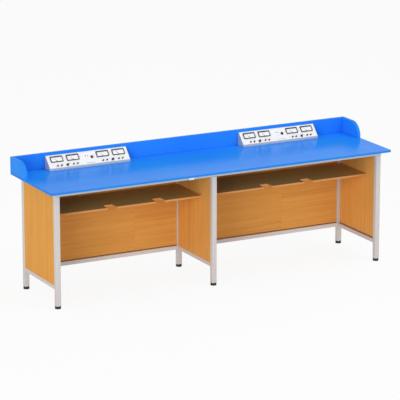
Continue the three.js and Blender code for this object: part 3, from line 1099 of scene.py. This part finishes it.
@dataclass
class PanelMeter:
    """A panel meter: moulded bezel, dial card with its scale, pivot, needle and window."""

    name: str
    needle: str
    width: float = 0.084
    height: float = 0.042
    base: float = 0.0003
    proud: float = 0.006
    side_bar: float = 0.0043
    top_bar: float = 0.008
    corner_radius: float = 0.002
    rim_radius: float = 0.0007
    dial: float = 0.0018
    card: float = 0.0003
    card_gap: float = 0.0001
    card_radius: float = 0.0006
    window: tuple[float, float] = (0.0047, 0.0053)
    ink: float = 0.00005
    pivot: float = -0.0125
    arc: float = 0.0243
    arc_width: float = 0.0003
    arc_steps: int = 30
    sweep: float = math.pi / 2
    divisions: int = 10
    mark_width: float = 0.00032
    mark_gap: float = 0.00002
    long_mark: float = 0.0022
    short_mark: float = 0.0013
    digit_drop: float = 0.0048
    pin: Section = (
        (0.0, 0.0019), (0.0022, 0.0019), (0.0022, 0.0025), (0.0011, 0.0025), (0.0011, 0.0038),
        (0.0008, 0.0041), (0.0, 0.0042))

    def bezel(self) -> Workpiece:
        """Makes the bezel with its sunk window and rounded rims.

        Returns:
            The bezel.
        """
        half = Vector((self.width / 2, self.height / 2))
        case = Workpiece.block((-half.x, -half.y, self.base), (half.x, half.y, self.proud))
        face = next(face for face in case.mesh.faces if face.normal.z > FACING)
        bmesh.ops.inset_region(case.mesh, faces=[face], thickness=self.side_bar, use_even_offset=True)
        upper = [vert for vert in face.verts if vert.co.y > 0.0]
        bmesh.ops.translate(case.mesh, verts=upper, vec=(0.0, self.side_bar - self.top_bar, 0.0))
        sunk = bmesh.ops.extrude_discrete_faces(case.mesh, faces=[face])["faces"]
        bmesh.ops.translate(case.mesh, verts=sunk[0].verts, vec=(0.0, 0.0, self.dial - self.proud))
        case.close()

        def outer_corner(edge: bmesh.types.BMEdge) -> bool:
            """Whether an edge is an upright outer corner."""
            return along(Axis.Z)(edge) and abs(edge.verts[0].co.x) > half.x - NEAR

        def front_rim(edge: bmesh.types.BMEdge) -> bool:
            """Whether an edge is a rim of the front face."""
            return rim(edge) and at(Axis.Z, self.proud)(edge)
        return case.round(outer_corner, self.corner_radius, 4).round(front_rim, self.rim_radius)

    def sheet(self, low: float, high: float) -> Workpiece:
        """Makes a sheet that fills the bezel's opening.

        Args:
            low: height of its back.
            high: height of its front.

        Returns:
            The sheet.
        """
        half = self.width / 2 - self.side_bar - self.card_gap
        foot = -self.height / 2 + self.side_bar + self.card_gap
        head = self.height / 2 - self.top_bar - self.card_gap
        sheet = Workpiece.block((-half, foot, low), (half, head, high))
        return sheet.round(along(Axis.Z), self.card_radius)

    def scale(self, digits: Sequence[bpy.types.Mesh]) -> Workpiece:
        """Makes the printed scale: an arc, its divisions and plain numbers.

        Args:
            digits: meshes of the numbers, from zero up.

        Returns:
            The print.
        """
        level = self.dial + self.card
        marks = Workpiece()
        start = Matrix.Rotation(self.sweep / 2, 4, "Z")
        verts = [marks.mesh.verts.new(start @ Vector((0.0, radius, level)))
                 for radius in (self.arc, self.arc + self.arc_width)]
        edge = marks.mesh.edges.new(verts)
        bmesh.ops.spin(marks.mesh, geom=verts + [edge], cent=(0, 0, 0), axis=(0, 0, 1), dvec=(0, 0, 0),
                       angle=-self.sweep, steps=self.arc_steps)
        marks.extrude(list(marks.mesh.faces), (0.0, 0.0, self.ink))
        for index in range(self.divisions + 1):
            number, odd = divmod(index, 2)
            turn = Matrix.Rotation(self.sweep * (0.5 - index / self.divisions), 4, "Z")
            reach = self.short_mark if odd else self.long_mark
            marks.join(Workpiece.block(
                (-self.mark_width / 2, self.arc - reach, level),
                (self.mark_width / 2, self.arc - self.mark_gap, level + self.ink)), turn)
            if not odd:
                spot = turn @ Vector((0.0, self.arc - self.digit_drop, level))
                marks.join(Workpiece.copy_of(digits[number]), Matrix.Translation(spot))
        return marks.move(Matrix.Translation((0.0, self.pivot, 0.0)))

    def build(self, place: Matrix, digits: Sequence[bpy.types.Mesh]) -> list[bpy.types.Object]:
        """Builds the meter on a console.

        Args:
            place: frame of the meter's middle on the panel.
            digits: meshes of the dial's numbers.

        Returns:
            The meter's pieces.
        """
        pin = Workpiece.turned(self.pin, 24).move(Matrix.Translation((0.0, self.pivot, 0.0)))
        needle = frame["nodes"][self.needle]
        needle.data.materials.clear()
        needle.data.materials.append(NEEDLE_PAINT.material())
        parts = (("bezel", self.bezel(), METER_BLACK, [self.name]),
                 ("card", self.sheet(self.dial, self.dial + self.card), DIAL_CARD, []),
                 ("scale", self.scale(digits), SCALE_INK, []),
                 ("pivot", pin, PLATED_STEEL, []),
                 ("window", self.sheet(*self.window), METER_WINDOW, []))
        return [part.move(place).finish(f"{self.name}_{word}", coat, stands_for=solids)
                for word, part, coat, solids in parts]


@dataclass
class PanelFitting:
    """Something that a console's sloping panel carries."""

    console: "Console"

    def build(self) -> list[bpy.types.Object]:
        """Builds the fitting's pieces."""
        raise NotImplementedError


@dataclass
class BindingPosts(PanelFitting):
    """Binding posts: coloured flange and grooved cap round a plated socket."""

    across: tuple[float, ...] = (-0.068, -0.041, 0.041, 0.068)
    order: tuple[tuple[PostColour, ...], ...] = (
        (PostColour.RED, PostColour.BLACK, PostColour.RED, PostColour.BLACK),
        (PostColour.RED, PostColour.BLACK, PostColour.BLACK, PostColour.RED))
    flange: Section = (
        (0.0, 0.0), (0.005, 0.0), (0.005, 0.0022), (0.0045, 0.0028), (0.0026, 0.0029), (0.0, 0.0029))
    socket: Section = (
        (0.0, 0.0027), (0.0025, 0.0027), (0.0025, 0.0042), (0.0014, 0.0044), (0.0014, 0.007), (0.0, 0.007))
    cap_foot: Section = ((0.0016, 0.0044), (0.0035, 0.004))
    cap_crown: Section = (
        (0.0039, 0.0098), (0.0035, 0.0106), (0.0028, 0.011), (0.0021, 0.011), (0.0016, 0.0106))
    cap_radius: float = 0.0039
    ribs: int = 5
    rib_start: float = 0.0046
    rib_pitch: float = 0.0009
    groove: float = 0.0003

    def cap(self) -> Section:
        """Section of the cap, as a ring round its bore."""
        ribs = [(self.cap_radius - step % 2 * self.groove, self.rib_start + self.rib_pitch * step)
                for step in range(self.ribs)]
        return [*self.cap_foot, *ribs, *self.cap_crown]

    def build(self) -> list[bpy.types.Object]:
        """Builds the posts of both groups.

        Returns:
            The caps of each colour and the sockets.
        """
        caps = {colour: Workpiece() for colour in PostColour}
        sockets = Workpiece()
        for group, order in zip(self.console.groups, self.order):
            for across, colour in zip(self.across, order):
                place = self.console.slope(group + across, self.console.control_up)
                caps[colour].join(Workpiece.turned(self.flange, 28), place)
                caps[colour].join(Workpiece.turned(self.cap(), 28, True), place)
                sockets.join(Workpiece.turned(self.socket, 20), place)
        pieces = [caps[colour].finish(self.console.title(f"posts_{colour.value}"), coat)
                  for colour, coat in POST_COATS.items()]
        return pieces + [sockets.finish(self.console.title("post_sockets"), PLATED_STEEL)]


@dataclass
class VoltageKnobs(PanelFitting):
    """Fluted knobs with a white pointer, and the divisions printed round them."""

    skirt_radius: float = 0.0085
    skirt_steps: Section = (
        (0.0002, 0.0004), (0.0, 0.0008), (0.0001, 0.0018), (0.0007, 0.0028), (0.0012, 0.0033))
    grip_radius: float = 0.0065
    grip_base: float = 0.0032
    grip_height: float = 0.0088
    grip_taper: float = 0.93
    grip_edge: float = 0.0008
    flutes: int = 12
    flute_steps: int = 6
    flute_share: float = 0.045
    pointer_width: float = 0.0012
    pointer_edge: float = 0.00012
    crown_line: tuple[float, float] = (0.001, 0.0052)
    crown_rise: tuple[float, float] = (-0.0001, 0.0003)
    skirt_line: tuple[float, float] = (0.0016, 0.0004)
    skirt_rise: tuple[float, float] = (0.0027, 0.0031)
    divisions: int = 10
    half_turn: float = 150.0
    mark_width: float = 0.0006
    mark_gap: float = 0.0012
    mark_length: float = 0.0014
    ink: float = 0.00006

    def skirt(self) -> Workpiece:
        """Skirt of a knob, whose section steps in from its rim."""
        outer = [(self.skirt_radius - inset, height) for inset, height in self.skirt_steps]
        return Workpiece.turned([(0.0, outer[0][1]), *outer, (0.0, outer[-1][1])], 40)

    def grip(self) -> Workpiece:
        """Makes the fluted grip, drawn in towards its rounded top.

        Returns:
            The grip.
        """
        grip = Workpiece()
        ring = bmesh.ops.create_circle(grip.mesh, cap_ends=True, radius=self.grip_radius,
                                       segments=self.flute_steps * self.flutes)
        for vert in ring["verts"]:
            vert.co *= 1.0 + self.flute_share * math.cos(self.flutes * math.atan2(vert.co.y, vert.co.x))
        grip.extrude(list(grip.mesh.faces), (0.0, 0.0, self.grip_height))
        grip.close()
        top = [vert for vert in grip.mesh.verts if vert.co.z > self.grip_height / 2]
        bmesh.ops.scale(grip.mesh, vec=(self.grip_taper, self.grip_taper, 1.0), verts=top)
        return grip.round(at(Axis.Z, self.grip_height), self.grip_edge)

    def pointer(self) -> Workpiece:
        """Makes the white lines on the crown and the skirt.

        Returns:
            The lines.
        """
        half, top = self.pointer_width / 2, self.grip_base + self.grip_height
        crown = [(x, y, top + rise) for x, y, rise in zip((-half, half), self.crown_line, self.crown_rise)]
        skirt = [(x, self.skirt_radius - inset, rise)
                 for x, inset, rise in zip((-half, half), self.skirt_line, self.skirt_rise)]
        line = Workpiece.block(*crown).join(Workpiece.block(*skirt))
        return line.round(every, self.pointer_edge, 1)

    def marks(self) -> Workpiece:
        """Makes the divisions printed round one knob.

        Returns:
            The print.
        """
        marks = Workpiece()
        half, start = self.mark_width / 2, self.skirt_radius + self.mark_gap
        for step in range(self.divisions + 1):
            angle = math.radians(self.half_turn * (1 - 2 * step / self.divisions))
            mark = Workpiece.block((-half, start, 0.0), (half, start + self.mark_length, self.ink))
            marks.join(mark, Matrix.Rotation(angle, 4, "Z"))
        return marks

    def build(self) -> list[bpy.types.Object]:
        """Builds the knobs.

        Returns:
            Each knob with its pointer, and the print.
        """
        pieces = []
        marks = Workpiece()
        for index, group in enumerate(self.console.groups, start=1):
            name = f"knob_{self.console.side}_{index}"
            place = self.console.slope(group, self.console.control_up)
            knob = self.skirt().join(self.grip(), Matrix.Translation((0.0, 0.0, self.grip_base)))
            pieces.append(knob.move(place).finish(f"{name}_grip", KNOB_BLACK, name, [name]))
            pieces.append(self.pointer().move(place).finish(f"{name}_pointer", POINTER_WHITE, name))
            marks.join(self.marks(), place)
        return pieces + [marks.finish(self.console.title("knob_marks"), SCALE_INK)]


@dataclass
class PowerButton(PanelFitting):
    """A push button with a dished crown, in a dark collar."""

    across: float = 0.027
    up: float = 0.051
    crown: Section = (
        (0.0, -0.003), (0.0075, -0.003), (0.0075, 0.0056), (0.0073, 0.0063), (0.0067, 0.0068),
        (0.0055, 0.007), (0.0048, 0.0069), (0.0045, 0.0066), (0.0, 0.0065))
    collar: Section = (
        (0.0079, 0.0), (0.0102, 0.0), (0.0102, 0.001), (0.0096, 0.0017), (0.0084, 0.0018), (0.0079, 0.0013))

    def build(self) -> list[bpy.types.Object]:
        """Builds the button.

        Returns:
            The cap and the collar.
        """
        place = self.console.slope(self.across, self.up)
        name = f"button_{self.console.side}"
        cap = Workpiece.turned(self.crown, 40).move(place)
        collar = Workpiece.turned(self.collar, 40, True).move(place)
        return [cap.finish(f"{name}_cap", BUTTON_RED, name, [name]),
                collar.finish(self.console.title("button_collar"), KNOB_BLACK)]


@dataclass
class PilotLamps(PanelFitting):
    """Two pilot lamps in dark rings, and the screws below them."""

    across: tuple[float, ...] = (-0.0145, 0.0005)
    lamp_up: float = 0.0625
    screw_up: float = 0.038
    lens: Section = (
        (0.0, 0.0), (0.0023, 0.0), (0.0023, 0.0016), (0.002, 0.0025), (0.0012, 0.003), (0.0, 0.0031))
    ring: Section = ((0.0024, 0.0), (0.0034, 0.0), (0.0032, 0.0008), (0.0026, 0.001), (0.0024, 0.0008))
    screw: Section = (
        (0.0, 0.0), (0.0024, 0.0), (0.0024, 0.0004), (0.0018, 0.0011), (0.0009, 0.0014), (0.0, 0.0015))

    def build(self) -> list[bpy.types.Object]:
        """Builds the lamps and the screws.

        Returns:
            The lenses, the rings and the screws.
        """
        pieces = []
        rings, screws = Workpiece(), Workpiece()
        for across, (word, coat) in zip(self.across, (("red", POST_RED), ("amber", LAMP_AMBER))):
            place = self.console.slope(across, self.lamp_up)
            lens = Workpiece.turned(self.lens, 24).move(place)
            pieces.append(lens.finish(self.console.title(f"lamp_{word}"), coat))
            rings.join(Workpiece.turned(self.ring, 24, True), place)
            screws.join(Workpiece.turned(self.screw, 24), self.console.slope(across, self.screw_up))
        pieces.append(rings.finish(self.console.title("lamp_rings"), KNOB_BLACK))
        return pieces + [screws.finish(self.console.title("panel_screws"), PLATED_STEEL)]


@dataclass
class PrintedRule(PanelFitting):
    """A printed rule near the foot of the panel."""

    across: float = 0.011
    up: float = 0.011
    length: float = 0.06
    width: float = 0.0015
    ink: float = 0.00006

    def build(self) -> list[bpy.types.Object]:
        """Builds the rule.

        Returns:
            The rule.
        """
        half = Vector((self.length / 2, self.width / 2))
        rule = Workpiece.block((-half.x, -half.y, 0.0), (half.x, half.y, self.ink))
        rule.round(along(Axis.Z), self.width / 3).move(self.console.slope(self.across, self.up))
        return [rule.finish(self.console.title("rule"), RULE_INK)]


@dataclass
class Console:
    """A sloped meter console: folded housing, end plates, and what its panel carries."""

    side: str
    depth: float = 0.073
    height: float = 0.082
    top_depth: float = 0.008
    lip: float = 0.014
    fold_radius: float = 0.002
    plate: float = 0.0015
    plate_gap: float = 0.0003
    plate_step: float = 0.0012
    screw_spots: tuple[tuple[float, float], ...] = ((0.058, 0.008), (0.012, 0.008), (0.012, 0.068))
    screw: Section = (
        (0.0, 0.0), (0.0022, 0.0), (0.0022, 0.0003), (0.0017, 0.0009), (0.0008, 0.0012), (0.0, 0.0013))
    meter_up: float = 0.063
    meter_across: tuple[float, ...] = (-0.213, -0.103, 0.103, 0.213)
    control_up: float = 0.015
    groups: tuple[float, ...] = (-0.151, 0.161)

    def __post_init__(self) -> None:
        """Reads where the console stands."""
        self.low, self.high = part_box(f"console_{self.side}")
        self.stand = Vector(((self.low.x + self.high.x) / 2, self.high.y, self.low.z))
        self.angle = math.atan2(self.height - self.lip, self.depth - self.top_depth)

    def title(self, word: str) -> str:
        """Name of one of the console's pieces."""
        return f"console_{self.side}_{word}"

    def slope(self, across: float, up: float) -> Matrix:
        """Works out a frame on the sloping panel: X across it, Y up it and Z outwards.

        Args:
            across: place across the panel, from its middle.
            up: place up the slope, from the lip.

        Returns:
            The frame.
        """
        edge = Matrix.Translation(self.stand + Vector((0.0, -self.depth, self.lip)))
        return edge @ Matrix.Rotation(self.angle, 4, "X") @ Matrix.Translation((across, up, 0.0))

    def section(self, start: float, end: float, shrink: float = 0.0) -> Workpiece:
        """Makes a length of the console's section.

        Args:
            start: where it starts along X.
            end: where it ends along X.
            shrink: how far its outline steps in.

        Returns:
            The length of section.
        """
        corners = [(0.0, 0.0), (-self.depth, 0.0), (-self.depth, self.lip),
                   (-self.top_depth, self.height), (0.0, self.height)]
        outline = [(start, self.stand.y + y, self.stand.z + z) for y, z in corners]
        piece = Workpiece.plate(outline, (end - start, 0.0, 0.0))
        if shrink:
            middle = self.stand + Vector((0.0, -self.depth / 2, self.height / 3))
            size = (1.0, 1.0 - shrink / self.depth, 1.0 - shrink / self.height)
            bmesh.ops.scale(piece.mesh, vec=size, space=Matrix.Translation(-middle), verts=piece.mesh.verts)
        return piece

    def housing(self) -> bpy.types.Object:
        """Makes the folded housing.

        Returns:
            The housing.
        """
        housing = self.section(self.low.x + self.plate, self.high.x - self.plate)

        def fold(edge: bmesh.types.BMEdge) -> bool:
            """Whether an edge is a fold of the sheet."""
            return along(Axis.X)(edge) and edge.verts[0].co.z > self.stand.z + self.lip / 2
        housing.round(fold, self.fold_radius, 5)
        # The upright faces, the lip among them, take the darker copy of the paint: painted shade.
        return housing.finish(
            self.title("housing"), CONSOLE_WHITE, stands_for=[f"console_{self.side}"], edging=CONSOLE_LIP_SHADED)

    def ends(self) -> list[bpy.types.Object]:
        """Makes the end plates and their screws.

        Returns:
            The plates and the screws.
        """
        plates, screws = Workpiece(), Workpiece()
        thickness = self.plate - self.plate_gap
        for outer, way in ((self.low.x, -1), (self.high.x, 1)):
            start, end = sorted((outer, outer - way * thickness))
            plates.join(self.section(start, end, self.plate_step).round(along(Axis.X), self.plate_step, 4))
            turn = Matrix.Rotation(way * math.pi / 2, 4, "Y")
            for reach, rise in self.screw_spots:
                spot = (outer, self.stand.y - reach, self.stand.z + rise)
                screws.join(Workpiece.turned(self.screw, 20), Matrix.Translation(spot) @ turn)
        # The end plates take the darker copy of the paint, a painted shade.
        return [plates.finish(self.title("end_plates"), CONSOLE_END_SHADED),
                screws.finish(self.title("screws"), PLATED_STEEL)]

    def build(self, digits: Sequence[bpy.types.Mesh]) -> list[bpy.types.Object]:
        """Builds the console.

        Args:
            digits: meshes of the dials' numbers.

        Returns:
            The console's pieces.
        """
        pieces = [self.housing(), *self.ends()]
        for kind in (BindingPosts, VoltageKnobs, PowerButton, PilotLamps, PrintedRule):
            pieces += kind(self).build()
        for index, across in enumerate(self.meter_across, start=1):
            meter = PanelMeter(f"meter_{self.side}_{index}", f"needle_{self.side}_{index}")
            pieces += meter.build(self.slope(across, self.meter_up), digits)
        return pieces


@dataclass
class DialDigits:
    """Plain numbers for the dials, as thin meshes."""

    count: int = 6
    size: float = 0.0034
    depth: float = 0.00003

    def build(self) -> list[bpy.types.Mesh]:
        """Builds one mesh for each number.

        Returns:
            The meshes, from zero up.
        """
        meshes = []
        for number in range(self.count):
            text = bpy.data.curves.new(f"digit_{number}", "FONT")
            text.body = str(number)
            text.size = self.size
            text.extrude = self.depth
            text.resolution_u = 2
            text.align_x, text.align_y = "CENTER", "CENTER"
            holder = show(f"digit_{number}", text)
            graph = bpy.context.evaluated_depsgraph_get()
            mesh = bpy.data.meshes.new_from_object(holder.evaluated_get(graph))
            mesh.transform(Matrix.Translation((0.0, 0.0, self.depth)))
            meshes.append(mesh)
            bpy.data.objects.remove(holder)
            bpy.data.curves.remove(text)
        return meshes


@dataclass(frozen=True)
class SoftLamp:
    """A square lamp that gives its share of full light on a surface that faces it."""

    name: str
    place: tuple[float, float, float]
    size: float
    share: float

    def hang(self, target: Point) -> None:
        """Hangs the lamp.

        Args:
            target: where it is aimed.
        """
        away = Vector(target) - Vector(self.place)
        data = bpy.data.lights.new(self.name, "AREA")
        data.size = self.size
        data.energy = self.share * math.pi ** 2 * away.length_squared
        lamp = show(self.name, data)
        lamp.location = self.place
        lamp.rotation_euler = away.to_track_quat("-Z", "Y").to_euler()


@dataclass
class Studio:
    """Camera, soft lamps, pale surroundings and the white floor."""

    camera_place: tuple[float, float, float] = (-7.1359, -13.5163, 4.5241)
    yaw: float = 27.727
    pitch: float = 14.786
    lens: float = 224.48
    sensor: float = 36.0
    far_clip: float = 300.0
    floor_size: float = 160.0
    ambient: float = 0.58
    lamps: tuple[SoftLamp, ...] = (
        SoftLamp("key", (-9.5, -8.3, 2.6), 6.0, 0.43),
        SoftLamp("fill", (3.5, -7.0, 2.2), 4.0, 0.08),
        SoftLamp("top", (2.0, -1.5, 6.0), 4.0, 0.27))
    target: tuple[float, float, float] = (0.0, 0.0, 0.45)

    def camera(self) -> None:
        """Sets the camera at the viewing angle of the picture."""
        data = bpy.data.cameras.new("camera")
        data.lens = self.lens
        data.sensor_width = self.sensor
        data.clip_end = self.far_clip
        camera = show("camera", data)
        camera.location = self.camera_place
        camera.rotation_euler = (math.radians(90.0 - self.pitch), 0.0, math.radians(-self.yaw))
        bpy.context.scene.camera = camera

    def surroundings(self) -> None:
        """Lights the bench from all round, with white where the camera looks past it."""
        world = bpy.data.worlds.new("surroundings")
        bpy.context.scene.world = world
        book = NodeBook(world)
        strength = self.ambient + (1.0 - self.ambient) * book.seen()
        book.output(book.node("Background", None, {"Color": WHITE, "Strength": strength}), "OutputWorld")

    def floor(self) -> None:
        """Lays the white floor."""
        mesh = bmesh.new()
        bmesh.ops.create_grid(mesh, x_segments=2, y_segments=2, size=self.floor_size / 2)
        data = bpy.data.meshes.new("floor")
        mesh.to_mesh(data)
        mesh.free()
        data.materials.append(STUDIO_PAPER.material())
        show("floor", data)

    def build(self) -> None:
        """Builds the studio."""
        bpy.context.scene.view_settings.view_transform = "Standard"
        self.camera()
        for lamp in self.lamps:
            lamp.hang(self.target)
        self.surroundings()
        self.floor()


def main() -> None:
    """Builds the studio and the bench, piece by piece, and logs which body each piece moves with."""
    logging.basicConfig(level=logging.INFO, format="%(message)s")
    Studio().build()
    assemblies = (Worktop(), Upstands(), TubeFrame(), LevellingFeet(), Boards(),
                  BookShelf("left", notch_start=0.404, notch_pitch=0.336, cut=(0.9, 0.4, 1.3)),
                  BookShelf("right", notch_start=0.432, notch_pitch=0.297, cut=(2.1, 0.8, 0.6)))
    pieces = [piece for assembly in assemblies for piece in assembly.build()]
    digits = DialDigits().build()
    for side in SIDES:
        pieces += Console(side).build(digits)
    for mesh in digits:
        bpy.data.meshes.remove(mesh)
    for piece in pieces:
        log.info("%s moves with %s", piece.name, piece["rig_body"])


if __name__ == "__main__":
    main()
